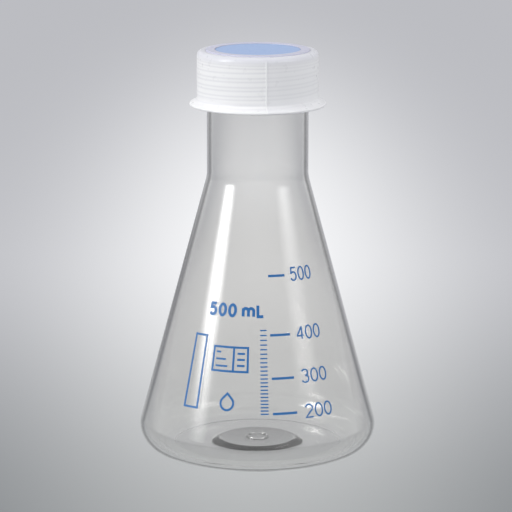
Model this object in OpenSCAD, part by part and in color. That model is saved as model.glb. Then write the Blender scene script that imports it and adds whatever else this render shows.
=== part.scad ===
// Conical (Erlenmeyer) flask, 500 mL, moulded in clear polycarbonate, with a vented screw cap.
// Origin: centre of the foot ring, on the bench. +Z runs up the axis, and the scale is read from -Y.

/* [Flask body] */
// Outer diameter at the widest point of the body
base_d = 108; // [104:1:112]
// Outer radius of the rounded corner between the foot and the cone
knuckle_r = 11.4; // [9:0.2:13]
// Angle between the cone's wall and the axis
cone_angle = 15.2; // [14.8:0.1:15.6]
// Outer radius of the blend between the cone and the neck
shoulder_r = 19; // [12:1:26]
// Outer diameter of the plain neck
neck_d = 46; // [45:0.5:46.5]
// Thickness of the wall
wall = 1.9; // [1.5:0.1:2]
// Height of the mouth's rim above the bench
rim_h = 179.4; // [178:0.2:182]

/* [Base] */
// Thickness of the floor
floor_t = 2.5; // [1.6:0.1:2.6]
// Outer radius of the low dome in the floor
push_r = 21.5; // [20:0.5:26]
// Height of the dome above the floor around it
push_h = 1.5; // [1:0.1:2.4]
// Width of the ring that touches the bench
foot_w = 4; // [3:0.5:6]
// Mean radius of the gate's ring in the middle of the floor
gate_r = 4.9; // [4:0.1:6]

/* [Neck thread] */
// Outer diameter of the finish that carries the thread
finish_d = 47; // [46.8:0.1:47.2]
// Axial distance between two turns of the thread
thread_pitch = 4; // [3.8:0.1:4.2]
// Height of the thread over its root
thread_depth = 1.3; // [1.1:0.1:1.3]
// Turns of thread on the neck
neck_turns = 2.5; // [2:0.25:2.75]
// Turns of thread inside the cap
cap_turns = 3.5; // [3:0.25:3.75]

/* [Cap] */
// Outer diameter of the cap's skirt
cap_d = 55; // [54.6:0.2:57]
// Height of the cap, without the vent's carrier
cap_h = 25; // [25:0.2:26]
// Outer diameter of the flared flange at the cap's foot
flange_d = 61.8; // [60:0.2:64]
// Thickness of the flange's edge
flange_t = 1.5; // [1.2:0.1:2]
// Radius of the edge between the cap's side and its top
cap_edge_r = 2.4; // [1:0.2:2.6]

/* [Vent] */
// Diameter of the vent's hole in the cap
vent_hole_d = 31; // [26:1:33]
// Diameter of the vent membrane
membrane_d = 38.6; // [36:0.2:40]
// Thickness of the vent membrane
membrane_t = 0.4; // [0.3:0.1:0.6]
// Outer diameter of the carrier, the ring that holds the membrane in the cap's top
carrier_d = 47; // [46:0.2:47.6]
// Inner diameter of the carrier, under the membrane
carrier_hole_d = 35; // [33:0.2:36]
// Number of spokes under the membrane
spokes = 6; // [4:1:8]

/* [Printed scale] */
// Thickness of the ink film
ink_t = 0.12; // [0.08:0.02:0.2]
// Height of a main mark's line
mark_h = 1.05; // [0.6:0.05:1.4]
// Azimuth where the main marks start, to the right of the front
mark_from = 8; // [6:0.5:10]
// Azimuth where the main marks end
mark_to = 20.8; // [18:0.2:22]
// Height of the numerals
numeral_h = 6.2; // [5:0.1:7]
// Height of the capacity's figures
capacity_h = 6.1; // [5:0.1:7]

/* [Hidden] */
$fn = 120;

// Body outline: the cone is tangent to the knuckle below it and to the shoulder above it.
base_r = base_d / 2;
neck_r = neck_d / 2;
cone_slope = tan(cone_angle);
foot_r = base_r - knuckle_r;
cone_r0 = foot_r + knuckle_r * cos(cone_angle);
cone_z0 = knuckle_r * (1 + sin(cone_angle));
cone_r1 = neck_r + shoulder_r * (1 - cos(cone_angle));
cone_z1 = cone_z0 + (cone_r0 - cone_r1) / cone_slope;
shoulder_z = cone_z1 + shoulder_r * sin(cone_angle);
arc_steps = 16;
// Underside: a flat, very shallow recess inside the foot. The floor's dome is flat inside its crest.
recess_z = 0.2;
recess_run = 0.8;
crest_r = 16.5;
dome_steps = 12;
gate_w = 0.9;
gate_h = 0.8;

// Neck finish and thread. The cap's thread runs under the neck's, with thread_play at the loaded flank.
finish_r = finish_d / 2;
finish_z = 160.5;
finish_ramp = 1.5;
lip_r = 0.8;
thread_root_w = 2;
thread_crest_w = 1;
thread_embed = 0.5;
thread_steps = 48;
thread_play = 0.18;
thread_gap = 0.3;
neck_thread_z = 165;
cap_root_r = finish_r + thread_depth + thread_gap;
cap_thread_z = neck_thread_z - thread_pitch / 2 + (thread_pitch - thread_root_w - thread_crest_w) / 2
    - thread_play;

// Cap levels, all above the bench.
cap_top = rim_h + 4.8;
cap_base = cap_top - cap_h;
cap_r = cap_d / 2;
flange_r = flange_d / 2;
flange_rise = 3.4;
seal_t = 1.2;
seal_z = rim_h + 0.02;
seal_in_r = neck_r - wall - 0.4;
seal_out_r = finish_r + 0.5;
seal_slack = 0.05;
ceiling_z = seal_z + seal_t + seal_slack;
ledge_z = ceiling_z + 1.3;
fit_gap = 0.02;
carrier_top = cap_top + 0.5;
membrane_z = cap_top + 0.2 - membrane_t;
seat_z = membrane_z - fit_gap;
grid_t = 1.3;
spoke_w = 1.8;
hub_r = 3.2;
seam_w = 0.7;
seam_h = 0.25;
seam_azimuth = 8;
bead_r = 0.35;

// Print: the film lies on the cone, ink_gap clear of it.
ink_gap = 0.01;
film_z0 = 24;
film_z1 = 96;
stroke_thin = 0.7;
stroke_bold = 1.3;
line_w = 0.92;
main_volumes = [200, 300, 400, 500];
fine_step = 10;
fine_from = 200;
fine_to = 410;
fine_mark_h = 0.55;
fine_azimuth = [1.7, 5.8];
numeral_from = 25.2;
numeral_w_top = 11.3;
numeral_w_bottom = 14.4;

// ---------- Body profile and the volume that it holds ----------

// Outer radius of the cone at a height.
function cone_r(z) = cone_r0 - (z - cone_z0) * cone_slope;

// Radius of the inner wall at a height, from the knuckle up to the shoulder.
function inner_r(z) =
    let (k = knuckle_r - wall)
    z < cone_z0 - wall * sin(cone_angle)
        ? foot_r + sqrt(max(0, k * k - (knuckle_r - z) * (knuckle_r - z)))
        : cone_r(z) - wall / cos(cone_angle);

// Height of the floor's upper side near the wall.
inner_floor_z = recess_z + floor_t;

// Rise of the dome over the floor at a radius, as a smooth step from its foot to its crest.
function rise(r) =
    let (t = min(1, max(0, (push_r - r) / (push_r - crest_r))))
    push_h * t * t * (3 - 2 * t);

// Volume held below a height, in mL, summed in thin slices.
slices = 60;
function sum(v, i = 0, total = 0) = i == len(v) ? total : sum(v, i + 1, total + v[i]);
raised_volume =
    let (dr = push_r / slices)
    sum([for (i = [0 : slices - 1]) let (r = (i + 0.5) * dr) 2 * PI * r * rise(r) * dr]);
function held(h) =
    let (dz = (h - inner_floor_z) / slices)
    (sum([for (i = [0 : slices - 1]) PI * pow(inner_r(inner_floor_z + (i + 0.5) * dz), 2) * dz])
        - raised_volume) / 1000;

// Height at which the flask holds a volume, by halving the interval.
function level(v, lo = 10, hi = 120, n = 22) =
    let (mid = (lo + hi) / 2)
    n == 0 ? mid : held(mid) > v ? level(v, lo, mid, n - 1) : level(v, mid, hi, n - 1);

// Points of an arc about c, with a radius along each axis.
function arc(c, r, from, to, n) =
    [for (i = [0 : n]) let (a = from + (to - from) * i / n) [c[0] + r[0] * cos(a), c[1] + r[1] * sin(a)]];

function reversed(p) = [for (i = [len(p) - 1 : -1 : 0]) p[i]];

// Points up the side of the body, moved in by a distance, from the knuckle to the foot of the neck.
function side_points(inset, knuckle_from) =
    concat(arc([foot_r, knuckle_r], (knuckle_r - inset) * [1, 1], knuckle_from, cone_angle, arc_steps),
        arc([neck_r + shoulder_r, shoulder_z], (shoulder_r + inset) * [1, 1], 180 + cone_angle, 180,
            arc_steps));

// Points up the dome's slope, from its foot in to its crest.
dome_points =
    [for (i = [0 : dome_steps])
        let (r = push_r - (push_r - crest_r) * i / dome_steps) [r, inner_floor_z + rise(r)]];

// ---------- Thread ----------

// Sweeps a trapezium along a helix as one closed skin. side is 1 for a thread that stands outward.
module helix(root_r, side, z0, turns) {
    n = ceil(turns * thread_steps);
    fade = thread_steps / 6;
    function depth(i) = thread_depth * min(1, max(0.04, min(i, n - i) / fade));
    function half_w(d) = (thread_root_w - (thread_root_w - thread_crest_w) * d / thread_depth) / 2;
    function section(i) =
        let (a = 360 * i / thread_steps, z = z0 + thread_pitch * i / thread_steps)
        [for (p = [[-thread_embed, -1], [depth(i), -1], [depth(i), 1], [-thread_embed, 1]])
            let (r = root_r + side * p[0]) [r * cos(a), r * sin(a), z + p[1] * half_w(p[0])]];
    m = 4;
    points = [for (i = [0 : n]) each section(i)];
    walls = [for (i = [0 : n - 1], j = [0 : m - 1])
        let (a = i * m + j, b = i * m + (j + 1) % m, c = a + m, d = b + m)
        each side > 0 ? [[a, b, c], [b, d, c]] : [[a, c, b], [b, c, d]]];
    first = [for (j = [1 : m - 2]) side > 0 ? [0, j + 1, j] : [0, j, j + 1]];
    last = [for (j = [1 : m - 2])
        let (o = n * m) side > 0 ? [o, o + j, o + j + 1] : [o, o + j + 1, o + j]];
    polyhedron(points = points, faces = concat(walls, first, last), convexity = 10);
}

// ---------- Parts ----------

// Clear body in one piece: foot ring, knuckle, cone, shoulder, neck, threaded finish and rim.
module flask_body() {
    foot_in = foot_r - foot_w;
    bore_r = neck_r - wall;
    disc_z = inner_floor_z + push_h;
    floor_meets_knuckle = asin((inner_floor_z - knuckle_r) / (knuckle_r - wall));
    outside = concat(side_points(0, -90),
        [[neck_r, finish_z], [finish_r, finish_z + finish_ramp]],
        arc([finish_r - lip_r, rim_h - lip_r], lip_r * [1, 1], 0, 90, 6));
    inside = concat([[bore_r, rim_h]], reversed(side_points(wall, floor_meets_knuckle)));
    gate = [for (p = [[0.5, 0], [0.5, gate_h], [-0.5, gate_h], [-0.5, 0]])
        [gate_r + p[0] * gate_w, disc_z + p[1]]];
    underside = [[0, recess_z], [foot_in - recess_run, recess_z], [foot_in, 0]];
    color([0.86, 0.88, 0.89, 0.35]) union() {
        rotate_extrude() polygon(concat(underside, outside, inside, dome_points, gate, [[0, disc_z]]));
        helix(finish_r, 1, neck_thread_z, neck_turns);
    }
}

// Outline of the cap's wall, flange and top, before the thread is added.
module cap_outline() {
    difference() {
        union() {
            translate([0, cap_base]) square([cap_r, cap_h - cap_edge_r]);
            translate([0, cap_base]) square([cap_r - cap_edge_r, cap_h]);
            translate([cap_r - cap_edge_r, cap_top - cap_edge_r]) circle(r = cap_edge_r);
            polygon([[cap_r - 1, cap_base], [flange_r - flange_t / 2, cap_base],
                [flange_r - flange_t / 2, cap_base + flange_t], [cap_r, cap_base + flange_rise],
                [cap_r - 1, cap_base + flange_rise]]);
            translate([flange_r - flange_t / 2, cap_base + flange_t / 2]) circle(r = flange_t / 2);
        }
        translate([0, cap_base - 1]) square([cap_root_r, ceiling_z - cap_base + 1]);
        translate([0, ledge_z]) square([carrier_d / 2 + fit_gap, cap_h]);
        translate([0, ceiling_z - 1]) square([vent_hole_d / 2, cap_h]);
        polygon([[cap_root_r - 1, cap_base - 1], [cap_root_r + 1, cap_base - 1], [cap_root_r, cap_base + 0.8],
            [cap_root_r - 1, cap_base + 0.8]]);
    }
}

// Translucent cap: threaded skirt, flared flange, vent hole and two mould seams.
module cap_shell() {
    color([0.93, 0.93, 0.95, 0.85]) union() {
        rotate_extrude() cap_outline();
        helix(cap_root_r, -1, cap_thread_z, cap_turns);
        for (side = [0, 180])
            rotate([0, 0, seam_azimuth - 90 + side])
                translate([cap_r - 1, -seam_w / 2, cap_base + flange_rise - 0.5])
                    cube([1 + seam_h, seam_w, cap_h - flange_rise - cap_edge_r]);
    }
}

// Light blue porous disc that lets the culture breathe.
module vent_membrane() {
    color([0.62, 0.72, 0.88]) translate([0, 0, membrane_z]) cylinder(r = membrane_d / 2, h = membrane_t);
}

// Ring pressed into the cap's top. The membrane is sealed into its seat, over a grid of spokes.
module vent_carrier_ring() {
    outer = carrier_d / 2;
    seat_r = membrane_d / 2 + fit_gap;
    edge = 0.3;
    color([0.9, 0.92, 0.97, 0.85]) union() {
        rotate_extrude() polygon([[carrier_hole_d / 2, ledge_z + fit_gap], [outer, ledge_z + fit_gap],
            [outer, carrier_top - edge], [outer - edge, carrier_top], [seat_r + edge, carrier_top],
            [seat_r, carrier_top - edge], [seat_r, seat_z], [carrier_hole_d / 2, seat_z]]);
        translate([0, 0, seat_z - grid_t]) cylinder(r = hub_r, h = grid_t);
        for (i = [0 : spokes - 1])
            rotate([0, 0, 360 * i / spokes]) translate([0, -spoke_w / 2, seat_z - grid_t])
                cube([carrier_hole_d / 2 + 1, spoke_w, grid_t]);
    }
}

// Soft ring between the cap's ceiling and the rim. The cap turns on it, so it rises without turning.
module sealing_ring() {
    color([0.96, 0.96, 0.94]) rotate_extrude() {
        translate([seal_in_r, seal_z]) square([seal_out_r - seal_in_r - bead_r, seal_t]);
        translate([seal_in_r, seal_z + bead_r]) square([seal_out_r - seal_in_r, seal_t - 2 * bead_r]);
        for (z = [seal_z + bead_r, seal_z + seal_t - bead_r])
            translate([seal_out_r - bead_r, z]) circle(r = bead_r);
    }
}

// ---------- Print ----------

ink = [0.06, 0.3, 0.6];

// A patch of film between two azimuths and two heights. over makes a cutter that stands out both ways.
module film_patch(from, to, z0, z1, over = 0) {
    near = ink_gap / cos(cone_angle) - over;
    far = (ink_gap + ink_t) / cos(cone_angle) + over;
    rotate([0, 0, from - 90]) rotate_extrude(angle = to - from)
        polygon([[cone_r(z0) + near, z0], [cone_r(z0) + far, z0], [cone_r(z1) + far, z1],
            [cone_r(z1) + near, z1]]);
}

// A frame of even line width between the azimuths in a list, with a bar at each inner one.
module film_frame(azimuths, z0, z1, line) {
    half = line / cone_r((z0 + z1) / 2) * 90 / PI;
    last = len(azimuths) - 1;
    difference() {
        film_patch(azimuths[0], azimuths[last], z0, z1);
        for (i = [0 : last - 1])
            film_patch(azimuths[i] + half * (i == 0 ? 2 : 1),
                azimuths[i + 1] - half * (i + 1 == last ? 2 : 1), z0 + line, z1 - line, 1);
    }
}

// Lays a flat drawing on the film at an azimuth and a height.
module on_film(azimuth, z) {
    intersection() {
        film_patch(azimuth - 30, azimuth + 30, film_z0, film_z1);
        rotate([0, 0, azimuth]) translate([0, 0, z]) rotate([90, 0, 0])
            linear_extrude(height = base_r + 5) children();
    }
}

// Unit vector across a path at point i, stretched at a corner so that the stroke keeps its width.
function across(p, i) =
    let (a = i == 0 ? p[1] - p[0] : p[i] - p[i - 1],
        b = i == len(p) - 1 ? a : p[i + 1] - p[i],
        u = a / norm(a), v = b / norm(b), s = u + v)
    [-s[1], s[0]] / max(0.5, (1 + u * v));

// A stroke of width w along an open path.
module stroke(p, w) {
    left = [for (i = [0 : len(p) - 1]) p[i] + across(p, i) * w / 2];
    right = [for (i = [0 : len(p) - 1]) p[i] - across(p, i) * w / 2];
    polygon(concat(left, reversed(right)));
}

// Paths of a character in a box one unit wide and high.
function glyph(c) =
    c == "2" ? [concat(arc([0.48, 0.72], [0.46, 0.28], 165, -30, 12), [[0.55, 0.38], [0.02, 0], [1, 0]])] :
    c == "3" ? [arc([0.46, 0.76], [0.42, 0.24], 155, -85, 12), arc([0.46, 0.27], [0.5, 0.27], 85, -155, 12)] :
    c == "4" ? [[[0.74, 0], [0.74, 1]], [[0.74, 0.97], [0, 0.3]], [[-0.05, 0.27], [1, 0.27]]] :
    c == "5" ? [[[0.93, 1], [0.2, 1], [0.08, 0.5]], arc([0.47, 0.33], [0.5, 0.33], 142, -155, 12)] :
    c == "m" ? [[[0, 0], [0, 0.74]],
        concat([[0, 0.42]], arc([0.25, 0.48], [0.25, 0.24], 150, 0, 8), [[0.5, 0]]),
        concat([[0.5, 0.42]], arc([0.75, 0.48], [0.25, 0.24], 150, 0, 8), [[1, 0]])] :
    c == "L" ? [[[0, 1], [0, 0], [1, 0]]] : [];

// One character, w wide and h high over all, with its foot on the line and its left side at 0.
module character(c, w, h, s) {
    size = [w - s, h - s];
    translate([s / 2, s / 2])
        if (c == "0") difference() {
            polygon(arc(size / 2, size / 2 + [s, s] / 2, 0, 345, 23));
            polygon(arc(size / 2, size / 2 - [s, s] / 2, 0, 345, 23));
        }
        else for (p = glyph(c)) stroke([for (q = p) [q[0] * size[0], q[1] * size[1]]], s);
}

// A word whose characters each face outward. widths holds each character's width.
module word(chars, widths, gap, h, s, azimuth_from, z) {
    r = cone_r(z + h / 2);
    for (i = [0 : len(chars) - 1]) {
        left = sum([for (j = [0 : 1 : i - 1]) widths[j] + gap]);
        middle = left + widths[i] / 2;
        if (chars[i] != " ")
            on_film(azimuth_from + middle / r * 180 / PI, z)
                translate([-widths[i] / 2, 0]) character(chars[i], widths[i], h, s);
    }
}

// The numerals beside a main mark. They widen with the cone.
module numeral(index) {
    z = level(main_volumes[index]);
    top = level(main_volumes[3]);
    bottom = level(main_volumes[0]);
    total = numeral_w_bottom + (numeral_w_top - numeral_w_bottom) * (z - bottom) / (top - bottom);
    digit = total / 3.25;
    color(ink) word([str(main_volumes[index] / 100), "0", "0"], [digit, digit, digit],
        (total - 3 * digit) / 2, numeral_h, stroke_thin, numeral_from, z - numeral_h / 2 + 0.2);
}

module print_scale_marks() {
    color(ink) for (v = main_volumes)
        film_patch(mark_from, mark_to, level(v) - mark_h / 2, level(v) + mark_h / 2);
}

// Column of fine marks left of the main ones, one for every fine_step of volume.
module print_fine_scale() {
    color(ink) for (v = [fine_from : fine_step : fine_to])
        film_patch(fine_azimuth[0], fine_azimuth[1], level(v) - fine_mark_h / 2,
            level(v) + fine_mark_h / 2);
}

module print_capacity() {
    color(ink) word(["5", "0", "0", " ", "m", "L"], [4.1, 4.1, 4.1, 1.1, 6, 3.7], 0.55, capacity_h,
        stroke_bold, -34.2, 69.3);
}

// Two-part box for the user's notes, ruled with short bars.
module print_record_box() {
    left = -27.2;
    right = -5;
    middle = -14.1;
    low = 45.6;
    high = 56.9;
    color(ink) {
        film_frame([left, middle, right], low, high, line_w);
        for (row = [0 : 2])
            film_patch(left + 2.4, left + [9.6, 8.4, 5][row], low + 2.2 + 3 * row, low + 3 + 3 * row);
        for (row = [0 : 2])
            film_patch(middle + 2.2, right - 2.4, low + 2.6 + 2.6 * row, low + 3.5 + 2.6 * row);
    }
}

// Tall narrow strip for a name.
module print_name_strip() {
    left = -41.6;
    right = -32.4;
    low = 28.5;
    high = 61;
    color(ink) film_frame([left, right], low, high, line_w);
}

// Points of a drop with its centre at a height, its round end of radius r and its tip at a distance.
function drop_points(z, r, tip) =
    let (a = 90 - acos(r / tip)) concat(arc([0, z], [r, r], a, -180 - a, 20), [[0, z + tip]]);

// Outline of a drop.
module print_drop_sign() {
    azimuth = -16.2;
    foot_z = 28.9;
    r = 3.4;
    tip = 4.9;
    color(ink) on_film(azimuth, foot_z) difference() {
        polygon(drop_points(r, r, tip));
        polygon(drop_points(r, r - line_w, tip * (r - line_w) / r));
    }
}

flask_body();
cap_shell();
vent_membrane();
vent_carrier_ring();
sealing_ring();
print_scale_marks();
print_fine_scale();
numeral(3);  // print_numeral_500
numeral(2);  // print_numeral_400
numeral(1);  // print_numeral_300
numeral(0);  // print_numeral_200
print_capacity();
print_record_box();
print_name_strip();
print_drop_sign();
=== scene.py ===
"""Looks of the vented conical flask: clean moulded meshes, materials, a plain studio and the camera."""
import math

import bmesh
import bpy
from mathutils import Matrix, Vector


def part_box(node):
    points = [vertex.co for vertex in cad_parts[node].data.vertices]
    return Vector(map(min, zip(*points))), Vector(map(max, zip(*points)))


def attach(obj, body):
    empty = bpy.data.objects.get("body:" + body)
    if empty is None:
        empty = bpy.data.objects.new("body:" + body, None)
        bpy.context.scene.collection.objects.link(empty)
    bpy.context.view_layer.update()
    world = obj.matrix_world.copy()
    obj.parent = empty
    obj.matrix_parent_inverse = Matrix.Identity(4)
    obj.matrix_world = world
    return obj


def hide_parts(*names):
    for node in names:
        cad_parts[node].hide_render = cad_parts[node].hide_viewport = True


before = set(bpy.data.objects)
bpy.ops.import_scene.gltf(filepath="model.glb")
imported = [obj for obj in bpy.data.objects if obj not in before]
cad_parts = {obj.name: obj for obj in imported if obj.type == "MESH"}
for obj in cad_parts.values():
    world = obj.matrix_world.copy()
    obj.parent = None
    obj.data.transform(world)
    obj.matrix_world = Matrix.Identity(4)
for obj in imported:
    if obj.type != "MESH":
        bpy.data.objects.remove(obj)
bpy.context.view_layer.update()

MM = 0.001
TAU = 2 * math.pi

# ---------- Driving dimensions, in metres. Sizes that the frame gives are read from it ----------

BODY_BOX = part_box("flask_body")
CAP_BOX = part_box("cap_shell")
MEMBRANE_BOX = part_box("vent_membrane")
CARRIER_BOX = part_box("vent_carrier_ring")
SEAL_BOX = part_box("sealing_ring")

KNUCKLE_R = 11.4 * MM
CONE_ANGLE = math.radians(15.2)
SHOULDER_R = 19 * MM
NECK_R = 23 * MM
WALL = 1.9 * MM
RIM_Z = BODY_BOX[1][2]
FOOT_W = 4 * MM
RECESS_Z = 0.2 * MM
RECESS_RUN = 0.8 * MM
FLOOR_T = 2.5 * MM
PUSH_R = 21.5 * MM
PUSH_H = 1.5 * MM
CREST_R = 16.5 * MM
GATE_R = 4.9 * MM
GATE_W = 0.9 * MM
GATE_H = 0.8 * MM
# Reach of the painted edge shade on the body: wider near the foot, and set in the floor, the dome and the
# gate ring to paint their dark rings.
FOOT_BAND_Z = 5 * MM
FLOOR_BAND = 0.05
DOME_BAND = 0.27
GATE_BAND = 0.75

FINISH_R = 23.5 * MM
FINISH_Z = 160.5 * MM
FINISH_RAMP = 1.5 * MM
LIP_R = 0.8 * MM
PITCH = 4 * MM
THREAD_DEPTH = 1.3 * MM
THREAD_ROOT_W = 2 * MM
THREAD_CREST_W = 1 * MM
THREAD_FADE = 1 / 6
THREAD_MARGIN = 1.2 * MM
NECK_THREAD_Z = 165 * MM
NECK_TURNS = 2.5
CAP_THREAD_Z = 163.32 * MM
CAP_TURNS = 3.5
LINE_HALF_W = 0.6 * MM
LINE_OFF = THREAD_ROOT_W * 0.4

CAP_R = 27.5 * MM
CAP_ROOT_R = 25.1 * MM
FLANGE_T = 1.5 * MM
FLANGE_RISE = 3.4 * MM
CAP_EDGE_R = 2.4 * MM
VENT_HOLE_R = 15.5 * MM
GRID_T = 1.3 * MM
SPOKES = 6
SPOKE_W = 1.8 * MM
HUB_R = 3.2 * MM
SEAM_AZIMUTH = math.radians(8)
SEAM_HALF_W = 0.35 * MM
SEAM_H = 0.25 * MM
CARRIER_HOLE_R = 17.5 * MM

SEGMENTS = 192
THREAD_ROW = 0.125 * MM
SKIRT_ROW = 0.3 * MM
SHARP = math.radians(32)
STRAIGHT = math.radians(176)
CORNER_SHARE = 0.45
DOME_STEPS = 32
FIT_GAP = 0.02 * MM


# ---------- Mesh code ----------

def arc(centre, radius, start, end, steps):
    """Points (radius, height) along an arc, with the angles in degrees."""
    points = []
    for i in range(steps + 1):
        a = math.radians(start + (end - start) * i / steps)
        points.append((centre[0] + radius * math.cos(a), centre[1] + radius * math.sin(a)))
    return points


def rounded(points, radius, steps=4):
    """The same outline with each inner corner cut by a small curve, so that it shades as a moulded edge."""
    out = [points[0]]
    for before, here, after in zip(points, points[1:], points[2:]):
        p, q, r = (Vector(v) for v in (before, here, after))
        into, away = (p - q), (r - q)
        reach = min(radius, into.length * CORNER_SHARE, away.length * CORNER_SHARE)
        turn = into.angle(away) if into.length > 0 and away.length > 0 else math.pi
        if turn > STRAIGHT:
            out.append(here)
            continue
        a, b = q + into.normalized() * reach, q + away.normalized() * reach
        for i in range(steps + 1):
            t = i / steps
            v = a * (1 - t) ** 2 + q * 2 * t * (1 - t) + b * t ** 2
            out.append((v.x, v.y))
    out.append(points[-1])
    return out


def thread_height(turn, z, start_z, turns):
    """How far the thread stands over its root at an angle, in turns, and a height."""
    best = 0.0
    for k in range(math.ceil(turns) + 1):
        t = turn % 1 + k
        if t > turns:
            break
        depth = THREAD_DEPTH * min(1, min(t, turns - t) / THREAD_FADE)
        off = abs(z - start_z - PITCH * t)
        flank = (THREAD_ROOT_W - THREAD_CREST_W) / 2
        best = max(best, min(depth, (THREAD_ROOT_W / 2 - off) / flank * THREAD_DEPTH))
    return best


def thread_line(turn, z, levels):
    """How strongly painted shade marks the edges of the thread, and of the parts at some levels, where they
    show through the cap at a place.
    """
    across = abs(((z - CAP_THREAD_Z) / PITCH - turn + 0.5) % 1 - 0.5) * PITCH
    inside = CAP_THREAD_Z - PITCH / 2 < z < CAP_THREAD_Z + (CAP_TURNS + 0.25) * PITCH
    edges = [abs(z - level) for level in levels] + ([abs(across - LINE_OFF)] if inside else [])
    return max(0, 1 - min(edges) / LINE_HALF_W)


def angle_between(a, b):
    """The smaller angle between two directions round the axis."""
    return abs((a - b + math.pi) % TAU - math.pi)


def columns(seams=()):
    """Angles of the mesh's columns, in radians, with closer ones at each seam's ridge."""
    angles = [TAU * i / SEGMENTS for i in range(SEGMENTS)]
    half = SEAM_HALF_W / CAP_R
    for seam in seams:
        near = [a for a in angles if angle_between(a, seam) > half * 1.9]
        angles = near + [(seam + half * f) % TAU for f in (-1.6, -1.0, -0.55, 0, 0.55, 1.0, 1.6)]
    return sorted(angles)


def add_object(name, bm):
    """Puts a bmesh in the scene as an object."""
    mesh = bpy.data.meshes.new(name)
    bm.to_mesh(mesh)
    bm.free()
    piece = bpy.data.objects.new(name, mesh)
    bpy.context.scene.collection.objects.link(piece)
    return piece


def finish_mesh(name, bm):
    """Turns a bmesh into a piece with smooth faces and sharp edges only at true corners."""
    bmesh.ops.remove_doubles(bm, verts=bm.verts, dist=1e-7)
    bmesh.ops.recalc_face_normals(bm, faces=bm.faces)
    for face in bm.faces:
        face.smooth = True
    for edge in bm.edges:
        edge.smooth = len(edge.link_faces) == 2 and edge.calc_face_angle(0) < SHARP
    return add_object(name, bm)


def lathe(bm, outline, angles, offset=None):
    """Turns an outline of (radius, height) about Z. A point on the axis becomes a pole; an outline that
    doesn't start on the axis is closed into a ring. offset(row, angle, z) moves a point outward."""
    rings = []
    for row, (r, z) in enumerate(outline):
        if r < 1e-7:
            rings.append([bm.verts.new((0, 0, z))])
            continue
        ring = []
        for a in angles:
            out = r + (offset(row, a, z) if offset else 0)
            ring.append(bm.verts.new((out * math.cos(a), out * math.sin(a), z)))
        rings.append(ring)
    closed = len(rings[0]) > 1
    pairs = list(zip(rings, rings[1:])) + ([(rings[-1], rings[0])] if closed else [])
    n = len(angles)
    for low, high in pairs:
        for i in range(n):
            j = (i + 1) % n
            if len(low) == 1:
                bm.faces.new((low[0], high[j], high[i]))
            elif len(high) == 1:
                bm.faces.new((low[i], low[j], high[0]))
            else:
                bm.faces.new((low[i], low[j], high[j], high[i]))


def steps_between(low, high, step):
    """Heights from low to high, both included, about a step apart."""
    n = max(1, round((high - low) / step))
    return [low + (high - low) * i / n for i in range(n + 1)]


def thread_rows(radius, start_z, turns):
    """Points up a threaded wall, close enough together to hold the thread."""
    low, high = start_z - THREAD_MARGIN, start_z + turns * PITCH + THREAD_MARGIN
    return [(radius, z) for z in steps_between(low, high, THREAD_ROW)]


# ---------- Pieces ----------

def side_outline(inset, knuckle_from, foot_r, shoulder_z):
    """Outline up the side of the body, moved in by a distance, from the knuckle to the neck."""
    degrees = math.degrees(CONE_ANGLE)
    return (arc((foot_r, KNUCKLE_R), KNUCKLE_R - inset, knuckle_from, degrees, 28)
            + arc((NECK_R + SHOULDER_R, shoulder_z), SHOULDER_R + inset, 180 + degrees, 180, 20))


def dome_outline(floor_z):
    """Outline up the smooth step of the floor's low dome, from its foot in to its crest."""
    points = []
    for i in range(DOME_STEPS + 1):
        t = i / DOME_STEPS
        points.append((PUSH_R - (PUSH_R - CREST_R) * t, floor_z + PUSH_H * t * t * (3 - 2 * t)))
    return points


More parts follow.
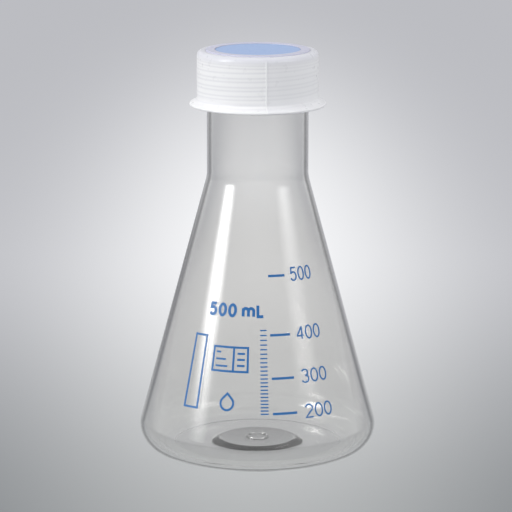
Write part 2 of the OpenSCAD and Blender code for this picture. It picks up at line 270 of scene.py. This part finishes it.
def body_outline():
    """Outline of the body from the underside's centre, up the outside, over the rim and down the inside.
    It comes with the rows of its thread. Points close to a corner keep its shading off the long faces."""
    base_r = BODY_BOX[1][0]
    foot_r = base_r - KNUCKLE_R
    slope = math.tan(CONE_ANGLE)
    cone_z0 = KNUCKLE_R * (1 + math.sin(CONE_ANGLE))
    cone_r0 = foot_r + KNUCKLE_R * math.cos(CONE_ANGLE)
    cone_r1 = NECK_R + SHOULDER_R * (1 - math.cos(CONE_ANGLE))
    shoulder_z = cone_z0 + (cone_r0 - cone_r1) / slope + SHOULDER_R * math.sin(CONE_ANGLE)
    floor_z = RECESS_Z + FLOOR_T
    bore_r = NECK_R - WALL
    meets = math.degrees(math.asin((floor_z - KNUCKLE_R) / (KNUCKLE_R - WALL)))

    foot_in = foot_r - FOOT_W
    step_r = foot_in - RECESS_RUN
    underside = rounded([(0, RECESS_Z), (step_r - MM, RECESS_Z), (step_r, RECESS_Z), (foot_in, 0),
                         (foot_in + MM, 0), (foot_r, 0)], 0.3 * MM)[:-1]
    outside = side_outline(0, -90, foot_r, shoulder_z)
    outside += rounded([(NECK_R, FINISH_Z - 2 * MM), (NECK_R, FINISH_Z), (FINISH_R, FINISH_Z + FINISH_RAMP),
                        (FINISH_R, FINISH_Z + FINISH_RAMP + 0.8 * MM)], 0.5 * MM)
    thread = thread_rows(FINISH_R, NECK_THREAD_Z, NECK_TURNS)
    lip = arc((FINISH_R - LIP_R, RIM_Z - LIP_R), LIP_R, 0, 90, 8)
    inside = rounded([(bore_r + 0.6 * MM, RIM_Z), (bore_r, RIM_Z), (bore_r, RIM_Z - MM)], 0.35 * MM)
    inside += side_outline(WALL, meets, foot_r, shoulder_z)[::-1]
    corner = inside[-1]
    inside = inside[:-1] + rounded([inside[-2], corner, (corner[0] - 2 * MM, floor_z),
                                    (corner[0] - 3 * MM, floor_z)], MM)[1:]
    disc_z = floor_z + PUSH_H
    top = disc_z + GATE_H
    gate = rounded([(GATE_R + 1.4 * GATE_W, disc_z), (GATE_R + GATE_W / 2, disc_z),
                    (GATE_R + GATE_W / 4, top), (GATE_R - GATE_W / 4, top), (GATE_R - GATE_W / 2, disc_z),
                    (GATE_R - 1.4 * GATE_W, disc_z)], 0.25 * MM)
    before = underside + outside
    rows = (len(before), len(before) + len(thread))
    return before + thread + lip + inside + dome_outline(floor_z) + gate + [(0, disc_z)], rows


def painted_shade_reach(vertex):
    """How far from face-on a place on the body must be seen for painted shade to darken it: a dark edge where
    the wall is seen edge-on, wider near the foot, and dark rings in the floor, dome and gate.
    """
    r, z = vertex.co.xy.length, vertex.co.z
    if 2 * MM < z < FOOT_BAND_Z and r < PUSH_R:
        if abs(r - GATE_R) < GATE_W:
            return GATE_BAND
        return FLOOR_BAND + (DOME_BAND - FLOOR_BAND) * min(1, (PUSH_R - r) / (PUSH_R - CREST_R))
    outside = vertex.normal.xy.dot(vertex.co.xy) > 0.05 * r
    if not outside or r < BODY_BOX[1][0] - KNUCKLE_R and z < FOOT_BAND_Z:
        return FLOOR_BAND
    return math.sqrt(1 - (1 - WALL / r) ** 2) * (1 + max(0, 1 - z / FOOT_BAND_Z))


def make_body():
    """The moulded body, with the attribute that says where painted shade darkens its edges."""
    outline, (first, last) = body_outline()

    def offset(row, angle, z):
        if not first <= row < last:
            return 0
        return thread_height(angle / TAU, z, NECK_THREAD_Z, NECK_TURNS)

    bm = bmesh.new()
    lathe(bm, outline, columns(), offset)
    piece = finish_mesh("flask_body_moulding", bm)
    shade_band = piece.data.attributes.new("painted_edge_shade", "FLOAT", "POINT")
    for vertex, value in zip(piece.data.vertices, shade_band.data):
        value.value = painted_shade_reach(vertex)
    return piece


def make_cap():
    """The cap, with the attributes that say where its seams show, where painted shade draws the thread seen
    through it, and which half takes painted shade.
    """
    base, top = CAP_BOX[0][2], CAP_BOX[1][2]
    flange_r = CAP_BOX[1][0]
    ceiling = SEAL_BOX[1][2] + 0.05 * MM
    ledge = ceiling + GRID_T
    recess_r = CARRIER_BOX[1][0] + FIT_GAP
    flange = arc((flange_r - FLANGE_T / 2, base + FLANGE_T / 2), FLANGE_T / 2, -90, 90, 10)
    root = base + FLANGE_RISE
    lower = [(CAP_ROOT_R + 0.9 * MM, base)] + flange
    skirt = rounded([flange[-1], (CAP_R + 0.55 * MM, root - 0.75 * MM), (CAP_R, root),
                     (CAP_R, root + 2 * MM)], 0.8 * MM)[1:]
    skirt += [(CAP_R, z) for z in steps_between(root + 2 * MM, top - CAP_EDGE_R, SKIRT_ROW)[1:-1]]
    shoulder = arc((CAP_R - CAP_EDGE_R, top - CAP_EDGE_R), CAP_EDGE_R, 0, 90, 10)
    crown = rounded([shoulder[-1], (recess_r, top), (recess_r, ledge), (VENT_HOLE_R, ledge),
                     (VENT_HOLE_R, ceiling), (CAP_ROOT_R, ceiling), (CAP_ROOT_R, ceiling - MM)],
                    0.25 * MM)[1:]
    thread = thread_rows(CAP_ROOT_R, CAP_THREAD_Z, CAP_TURNS)[::-1]
    chamfer = rounded([(CAP_ROOT_R, base + 1.2 * MM), (CAP_ROOT_R, base + 0.8 * MM),
                       (CAP_ROOT_R + 0.5 * MM, base)], 0.2 * MM)
    outline = lower + skirt + shoulder + crown + thread + chamfer
    first = len(lower) + len(skirt) + len(shoulder) + len(crown)
    seam_rows = range(len(lower) + 2, len(lower) + len(skirt) + len(shoulder) // 2)
    seams = [(SEAM_AZIMUTH - math.pi / 2) % TAU, (SEAM_AZIMUTH + math.pi / 2) % TAU]

    def offset(row, angle, z):
        if row in seam_rows:
            away = min(angle_between(angle, seam) for seam in seams) * CAP_R
            return SEAM_H * max(0, min(1, (SEAM_HALF_W - away) / (0.45 * SEAM_HALF_W)))
        if first <= row < first + len(thread):
            return -thread_height(angle / TAU, z, CAP_THREAD_Z, CAP_TURNS)
        return 0

    bm = bmesh.new()
    lathe(bm, outline, columns(seams), offset)
    piece = finish_mesh("cap_moulding", bm)
    names = ("thread_lines", "seam_line", "painted_shade_half")
    lines, seam_line, half = (piece.data.attributes.new(name, "FLOAT", "POINT").data for name in names)
    for i, vertex in enumerate(piece.data.vertices):
        x, y, z = vertex.co
        angle = math.atan2(y, x)
        lines[i].value = thread_line(angle / TAU, z, (RIM_Z, ceiling))
        away = min(angle_between(angle, seam) for seam in seams) * CAP_R
        seam_line[i].value = max(0, 1 - away / SEAM_HALF_W)
        # Painted shade: the half away from the left lamps is marked to be tinted darker.
        half[i].value = 1 if (angle - seams[0]) % TAU < math.pi else 0
    return piece


def add_grid(bm, low, high):
    """Hub and tapered spokes under the membrane."""
    hub = rounded([(0, low), (HUB_R, low), (HUB_R, high), (0, high)], 0.3 * MM)
    lathe(bm, hub, [TAU * i / 48 for i in range(48)])
    for k in range(SPOKES):
        a = TAU * k / SPOKES
        along, across = Vector((math.cos(a), math.sin(a), 0)), Vector((-math.sin(a), math.cos(a), 0))
        ends = []
        for r in (HUB_R - 0.4 * MM, CARRIER_HOLE_R + 0.4 * MM):
            ring = []
            taper = low + 0.2 * MM
            for u, z in ((-1, taper), (-0.8, low), (0.8, low), (1, taper), (1, high), (-1, high)):
                ring.append(bm.verts.new(along * r + across * (u * SPOKE_W / 2) + Vector((0, 0, z))))
            ends.append(ring)
        inner, outer = ends
        for i in range(6):
            j = (i + 1) % 6
            bm.faces.new((inner[i], outer[i], outer[j], inner[j]))
        bm.faces.new(inner)
        bm.faces.new(outer[::-1])


def make_membrane():
    """The vent disc."""
    low, high = MEMBRANE_BOX[0][2], MEMBRANE_BOX[1][2]
    r = MEMBRANE_BOX[1][0]
    dome = [(r * math.sin(math.pi / 2 * i / 24), high) for i in range(24)]
    outline = dome + rounded([(r * 0.99, high), (r, high), (r, low), (0, low)], 0.1 * MM)
    bm = bmesh.new()
    lathe(bm, outline, columns())
    return finish_mesh("vent_membrane_disc", bm)


def make_carrier():
    """The ring that carries the vent disc."""
    low, high = CARRIER_BOX[0][2], CARRIER_BOX[1][2]
    seat = MEMBRANE_BOX[0][2] - FIT_GAP
    outer = CARRIER_BOX[1][0]
    seat_r = MEMBRANE_BOX[1][0] + FIT_GAP
    outline = rounded([(CARRIER_HOLE_R, (low + seat) / 2), (CARRIER_HOLE_R, low), (outer, low), (outer, high),
                       (seat_r, high), (seat_r, seat), (CARRIER_HOLE_R, seat),
                       (CARRIER_HOLE_R, (low + seat) / 2)], 0.3 * MM, 6)[1:]
    bm = bmesh.new()
    lathe(bm, outline, columns())
    add_grid(bm, seat - GRID_T, seat)
    return finish_mesh("vent_carrier_moulding", bm)


def make_seal():
    """The sealing ring, with rounded corners."""
    low, high = SEAL_BOX[0][2], SEAL_BOX[1][2]
    outer = SEAL_BOX[1][0]
    inner = NECK_R - WALL - 0.4 * MM
    bead = 0.35 * MM
    outline = []
    for r, z, start in ((outer - bead, low + bead, -90), (outer - bead, high - bead, 0),
                        (inner + bead, high - bead, 90), (inner + bead, low + bead, 180)):
        outline += arc((r, z), bead, start, start + 90, 6)
    bm = bmesh.new()
    lathe(bm, outline, columns())
    return finish_mesh("sealing_ring_moulding", bm)


# ---------- Materials ----------

# Painted shade in the clear body's tint: darker on the cone than at the base and the neck.
BASE_SHADE_TINT = (0.9, 0.898, 0.89)
CONE_SHADE_TINT = (0.825, 0.82, 0.81)
NECK_SHADE_TINT = (0.9, 0.898, 0.892)
# Painted shade for the body's dark edges and rings.
EDGE_PAINTED_SHADE = (0.12, 0.12, 0.12)

# Sockets of a colour mix node.
MIX_FACTOR, MIX_A, MIX_B, MIX_RESULT = 0, 6, 7, 2


class Nodes:
    """A short hand for building one material's nodes."""

    def __init__(self, name):
        self.material = bpy.data.materials.new(name)
        self.material.use_nodes = True
        self.tree = self.material.node_tree
        self.shader = self.tree.nodes["Principled BSDF"]
        self.coordinates = self.add("ShaderNodeTexCoord").outputs["Object"]

    def add(self, kind, **values):
        node = self.tree.nodes.new(kind)
        for key, value in values.items():
            if key in node.inputs:
                node.inputs[key].default_value = value
            else:
                setattr(node, key, value)
        return node

    def link(self, source, target):
        self.tree.links.new(source, target)

    def set(self, **values):
        for key, value in values.items():
            self.shader.inputs[key.replace("_", " ")].default_value = value

    def noise(self, scale, detail=2.0, stretch=(1, 1, 1)):
        mapping = self.add("ShaderNodeMapping")
        mapping.inputs["Scale"].default_value = stretch
        texture = self.add("ShaderNodeTexNoise", Scale=scale, Detail=detail)
        self.link(self.coordinates, mapping.inputs["Vector"])
        self.link(mapping.outputs["Vector"], texture.inputs["Vector"])
        return texture.outputs["Fac"]

    def along(self, axis):
        """Place along an axis, at rest. Z is the height above the bench."""
        split = self.add("ShaderNodeSeparateXYZ")
        self.link(self.coordinates, split.inputs[0])
        return split.outputs[axis]

    def spread(self, value, low, high, start=0.3, end=0.7, **settings):
        """Maps a value from the range start to end, which suits a noise, to the range low to high."""
        node = self.add("ShaderNodeMapRange", **settings)
        for key, number in (("From Min", start), ("From Max", end), ("To Min", low), ("To Max", high)):
            node.inputs[key].default_value = number
        self.link(value, node.inputs["Value"])
        return node.outputs["Result"]

    def maths(self, operation, *values):
        node = self.add("ShaderNodeMath", operation=operation)
        for socket, value in zip(node.inputs, values):
            if isinstance(value, float):
                socket.default_value = value
            else:
                self.link(value, socket)
        return node.outputs[0]

    def over(self, factor, below, colour, **settings):
        """Lays a colour over another one, which is a colour or a node's output."""
        node = self.add("ShaderNodeMix", data_type="RGBA", **settings)
        node.inputs[MIX_B].default_value = (*colour, 1)
        self.link(factor, node.inputs[MIX_FACTOR])
        if isinstance(below, tuple):
            node.inputs[MIX_A].default_value = (*below, 1)
        else:
            self.link(below, node.inputs[MIX_A])
        return node.outputs[MIX_RESULT]

    def bump(self, height, distance, strength=1.0, below=None):
        node = self.add("ShaderNodeBump", Strength=strength, Distance=distance)
        self.link(height, node.inputs["Height"])
        if below is not None:
            self.link(below, node.inputs["Normal"])
        return node.outputs["Normal"]


def clear_plastic():
    """Blow-moulded polycarbonate. Painted shade darkens it where the wall is seen edge-on."""
    n = Nodes("clear_polycarbonate")
    n.set(Transmission_Weight=1.0, IOR=1.585)
    facing = n.add("ShaderNodeLayerWeight", Blend=0.5).outputs["Facing"]
    toward = n.maths("SUBTRACT", 1.0, facing)
    shade_band = n.add("ShaderNodeAttribute", attribute_name="painted_edge_shade").outputs["Fac"]
    share = n.maths("DIVIDE", toward, shade_band)
    # Painted shade: the body darkens where its wall is seen edge-on.
    painted_darkening = n.maths("MULTIPLY", n.spread(share, 0.2, 1, 0.45, 0.8), n.spread(share, 1, 0, 0.9, 1.12))
    # Painted shade by height: the cone is tinted darker than the base and the neck.
    height = n.along("Z")
    side = n.over(n.spread(height, 0, 1, 8 * MM, 34 * MM), BASE_SHADE_TINT, CONE_SHADE_TINT)
    through = n.over(n.spread(height, 0, 1, 100 * MM, 128 * MM), side, NECK_SHADE_TINT)
    n.link(n.over(painted_darkening, through, EDGE_PAINTED_SHADE), n.shader.inputs["Base Color"])
    n.link(n.spread(n.noise(160, 4), 0.02, 0.05), n.shader.inputs["Roughness"])
    waves = n.bump(n.noise(26, 1, (1, 1, 0.45)), 0.08 * MM, 0.5)
    n.link(n.bump(n.noise(900, 3), 0.001 * MM, 0.5, waves), n.shader.inputs["Normal"])
    return n.material


def cap_plastic():
    """Translucent white polypropylene, satin outside."""
    n = Nodes("translucent_white_polypropylene")
    n.set(IOR=1.49, Subsurface_Weight=0.3, Subsurface_Radius=(1, 1, 1), Subsurface_Scale=1.5 * MM)
    lines, seam, half = (n.add("ShaderNodeAttribute", attribute_name=name).outputs["Fac"]
                         for name in ("thread_lines", "seam_line", "painted_shade_half"))
    # Painted shade: one half of the cap is tinted darker, as the side away from the lamps.
    plain = n.over(half, (0.93, 0.93, 0.935), (0.86, 0.86, 0.875))
    # Painted shade: darker lines where the thread and the rims inside show through the cap.
    lined = n.over(lines, plain, (0.8, 0.8, 0.82))
    seamed = n.over(seam, lined, (0.99, 0.99, 0.995))
    crown = n.spread(n.along("Z"), 0, 1, 180.5 * MM, 183 * MM)
    n.link(n.over(crown, seamed, (0.72, 0.72, 0.765)), n.shader.inputs["Base Color"])
    n.link(n.spread(n.noise(300, 4), 0.26, 0.36), n.shader.inputs["Roughness"])
    n.link(n.bump(n.noise(500, 2), 0.002 * MM, 0.5), n.shader.inputs["Normal"])
    return n.material


def carrier_plastic():
    n = Nodes("pale_lavender_ring")
    n.set(IOR=1.49, Subsurface_Weight=0.4, Subsurface_Radius=(1, 1, 1), Subsurface_Scale=2 * MM)
    n.link(n.over(n.noise(80, 3), (0.56, 0.56, 0.69), (0.61, 0.61, 0.73)), n.shader.inputs["Base Color"])
    n.link(n.spread(n.noise(300, 4), 0.28, 0.4), n.shader.inputs["Roughness"])
    n.link(n.bump(n.noise(500, 2), 0.002 * MM, 0.5), n.shader.inputs["Normal"])
    return n.material


def membrane_fabric():
    """Porous film on a fine non-woven backing."""
    n = Nodes("vent_membrane_film")
    n.set(IOR=1.4)
    n.link(n.over(n.noise(700, 5), (0.33, 0.45, 0.7), (0.4, 0.51, 0.75)), n.shader.inputs["Base Color"])
    n.link(n.spread(n.noise(500, 3), 0.55, 0.75), n.shader.inputs["Roughness"])
    fibres = n.bump(n.noise(2500, 4, (1, 0.35, 1)), 0.05 * MM, 0.6)
    n.link(n.bump(n.noise(3200, 4, (0.35, 1, 1)), 0.05 * MM, 0.6, fibres), n.shader.inputs["Normal"])
    return n.material


def silicone():
    n = Nodes("white_silicone")
    n.set(IOR=1.41)
    n.link(n.over(n.noise(120, 3), (0.84, 0.84, 0.82), (0.9, 0.9, 0.88)), n.shader.inputs["Base Color"])
    n.link(n.spread(n.noise(400, 3), 0.4, 0.55), n.shader.inputs["Roughness"])
    n.link(n.bump(n.noise(1800, 3), 0.01 * MM, 0.5), n.shader.inputs["Normal"])
    return n.material


def ink():
    """Screen-printed ink, with the mesh's slight unevenness."""
    n = Nodes("blue_screen_ink")
    n.set(IOR=1.5)
    n.link(n.over(n.noise(900, 4), (0.008, 0.125, 0.37), (0.015, 0.15, 0.42)), n.shader.inputs["Base Color"])
    n.link(n.spread(n.noise(1200, 3), 0.3, 0.5), n.shader.inputs["Roughness"])
    n.link(n.bump(n.noise(3000, 2), 0.01 * MM, 0.5), n.shader.inputs["Normal"])
    return n.material


def give(piece, material):
    piece.data.materials.clear()
    piece.data.materials.append(material)


def place(piece, body, node, material):
    give(piece, material)
    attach(piece, body)
    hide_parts(node)


body_piece = make_body()
body_piece.visible_shadow = False
place(body_piece, "flask", "flask_body", clear_plastic())
place(make_cap(), "cap", "cap_shell", cap_plastic())
place(make_membrane(), "cap", "vent_membrane", membrane_fabric())
place(make_carrier(), "cap", "vent_carrier_ring", carrier_plastic())
place(make_seal(), "seal", "sealing_ring", silicone())
ink_material = ink()
for node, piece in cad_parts.items():
    if node.startswith("print_"):
        for slot in piece.material_slots:
            slot.material = ink_material

# ---------- Studio ----------

CAMERA_DISTANCE = 1.298
CAMERA_HEIGHT = 0.3646
AIM_HEIGHT = 0.0894
FOCAL_LENGTH = 204.3
SIDE_SHIFT = -0.003
ROLL = math.radians(0.066)
# Painted light on the floor: a glowing pool behind the flask, a darker band in front of it and paler sides,
# all given as emission.
POOL_Y = 0.42
POOL_HALF_X = 0.108
POOL_HALF_Y = 0.71
PAINTED_POOL_LIGHT = (0.445, 0.445, 0.43)
PAPER_LOW_Y = -0.2
PAPER_REACH = 0.65
PAINTED_LIGHT_LOW = (0.165, 0.178, 0.192)
PAINTED_LIGHT_HIGH = (0.485, 0.49, 0.52)
PAPER_SIDE_FROM = 0.22
PAPER_SIDE_TO = 0.6
PAINTED_LIGHT_SIDE = (0.58, 0.585, 0.6)
LIGHT_DISTANCE = 1.6
LIGHT_HEIGHT = 0.75
LIGHT_TARGET = (0, 0, 0.08)
SIDE_FADE = 0.5
HALF_WIDTH = 0.5
SENSOR_WIDTH = 36
CLIP_END = 50


def painted_light_floor():
    """Studio paper that glows with painted light in its emission: a soft bright pool behind the flask that
    fades to grey round it, with a darker band in front of the flask and paler sides.
    """
    n = Nodes("painted_light_paper")
    centre = n.add("ShaderNodeMapping", vector_type="TEXTURE")
    centre.inputs["Location"].default_value = (0, POOL_Y, 0)
    centre.inputs["Scale"].default_value = (POOL_HALF_X, POOL_HALF_Y, 1)
    n.link(n.coordinates, centre.inputs["Vector"])
    square = n.add("ShaderNodeVectorMath", operation="DOT_PRODUCT")
    n.link(centre.outputs["Vector"], square.inputs[0])
    n.link(centre.outputs["Vector"], square.inputs[1])
    pool = n.maths("EXPONENT", n.maths("MULTIPLY", square.outputs["Value"], -1.0))
    from_low = n.maths("ABSOLUTE", n.maths("SUBTRACT", n.along("Y"), PAPER_LOW_Y))
    aside = n.maths("ABSOLUTE", n.along("X"))
    depth = n.spread(from_low, 0, 1, 0, PAPER_REACH, interpolation_type="SMOOTHSTEP")
    side = n.spread(aside, 0, 1, PAPER_SIDE_FROM, PAPER_SIDE_TO, interpolation_type="SMOOTHSTEP")
    painted_paper_light = n.over(side, n.over(depth, PAINTED_LIGHT_LOW, PAINTED_LIGHT_HIGH), PAINTED_LIGHT_SIDE)
    lit = n.over(pool, painted_paper_light, PAINTED_POOL_LIGHT, blend_type="ADD", clamp_factor=False)
    # The paper's brightness is painted light, given as emission rather than lit by the lamps.
    n.link(lit, n.shader.inputs["Emission Color"])
    n.set(Base_Color=(0.02, 0.02, 0.02, 1), Roughness=0.9, Specular_IOR_Level=0.0, Emission_Strength=1.0)
    return n.material


def make_floor():
    """A wide pale sweep that stays flat well past the flask and rises far behind it."""
    flat, rise, width = 2.6, 1.6, 6.0
    outline = [(-flat, 0.0), (flat, 0.0)]
    outline += [(flat + rise * math.sin(math.radians(a)), rise * (1 - math.cos(math.radians(a))))
                for a in range(6, 91, 6)]
    bm = bmesh.new()
    rows = [[bm.verts.new((x, y, z)) for x in (-width / 2, width / 2)] for y, z in outline]
    for low, high in zip(rows, rows[1:]):
        bm.faces.new((low[0], low[1], high[1], high[0]))
    for face in bm.faces:
        face.smooth = True
    floor = add_object("floor_sweep", bm)
    give(floor, painted_light_floor())


def aim(thing, target, roll=0.0):
    """Turns a light or camera to look at a point."""
    look = (Vector(target) - thing.location).to_track_quat("-Z", "Y")
    thing.rotation_euler = look.to_euler()
    if roll:
        thing.rotation_euler.rotate_axis("Z", roll)


def soften(data, foot):
    """Makes a soft box fade towards its sides, and towards its foot over a share of its height."""
    data.use_nodes = True
    tree = data.node_tree
    emission = tree.nodes["Emission"]
    place_on_light = tree.nodes.new("ShaderNodeNewGeometry").outputs["Parametric"]
    split = tree.nodes.new("ShaderNodeSeparateXYZ")
    tree.links.new(place_on_light, split.inputs[0])
    across = tree.nodes.new("ShaderNodeMath")
    across.operation = "PINGPONG"
    across.inputs[1].default_value = HALF_WIDTH
    tree.links.new(split.outputs["X"], across.inputs[0])
    product = tree.nodes.new("ShaderNodeMath")
    product.operation = "MULTIPLY"
    for source, reach, target in ((across.outputs[0], SIDE_FADE, 0), (split.outputs["Y"], foot, 1)):
        fade = tree.nodes.new("ShaderNodeMapRange")
        fade.interpolation_type = "SMOOTHSTEP"
        fade.inputs["From Max"].default_value = reach
        tree.links.new(source, fade.inputs["Value"])
        tree.links.new(fade.outputs["Result"], product.inputs[target])
    tree.links.new(product.outputs[0], emission.inputs["Strength"])


def soft_light(name, azimuth, size, power, foot=SIDE_FADE):
    """A rectangular soft box. azimuth is in degrees from the camera's side, positive to the right."""
    data = bpy.data.lights.new(name, "AREA")
    data.shape = "RECTANGLE"
    data.size, data.size_y = size
    data.energy = power
    soften(data, foot)
    light = bpy.data.objects.new(name, data)
    a = math.radians(azimuth)
    light.location = (LIGHT_DISTANCE * math.sin(a), -LIGHT_DISTANCE * math.cos(a), LIGHT_HEIGHT)
    aim(light, LIGHT_TARGET)
    bpy.context.scene.collection.objects.link(light)
    return light


def make_world():
    """A plain pale surround."""
    world = bpy.data.worlds.new("studio")
    bpy.context.scene.world = world
    world.use_nodes = True
    background = world.node_tree.nodes["Background"].inputs
    background["Color"].default_value = (0.97, 0.98, 1, 1)
    background["Strength"].default_value = 0.8


def make_camera():
    """The camera, above the flask's height and looking down through a long lens."""
    data = bpy.data.cameras.new("camera")
    data.lens = FOCAL_LENGTH
    data.sensor_width = SENSOR_WIDTH
    data.shift_x = SIDE_SHIFT
    data.clip_end = CLIP_END
    camera = bpy.data.objects.new("camera", data)
    camera.location = (0, -CAMERA_DISTANCE, CAMERA_HEIGHT)
    aim(camera, (0, 0, AIM_HEIGHT), ROLL)
    bpy.context.scene.collection.objects.link(camera)
    bpy.context.scene.camera = camera


make_camera()
make_floor()
make_world()
strip = soft_light("left_strip", -66, (1.0, 1.1), 40, foot=0.25)
strip.visible_diffuse = False
bounce = soft_light("left_bounce", -66, (1.0, 1.1), 34)
bounce.visible_glossy = False
soft_light("right_fill", 60, (1.4, 1.1), 14)
bpy.context.scene.view_settings.view_transform = "Standard"
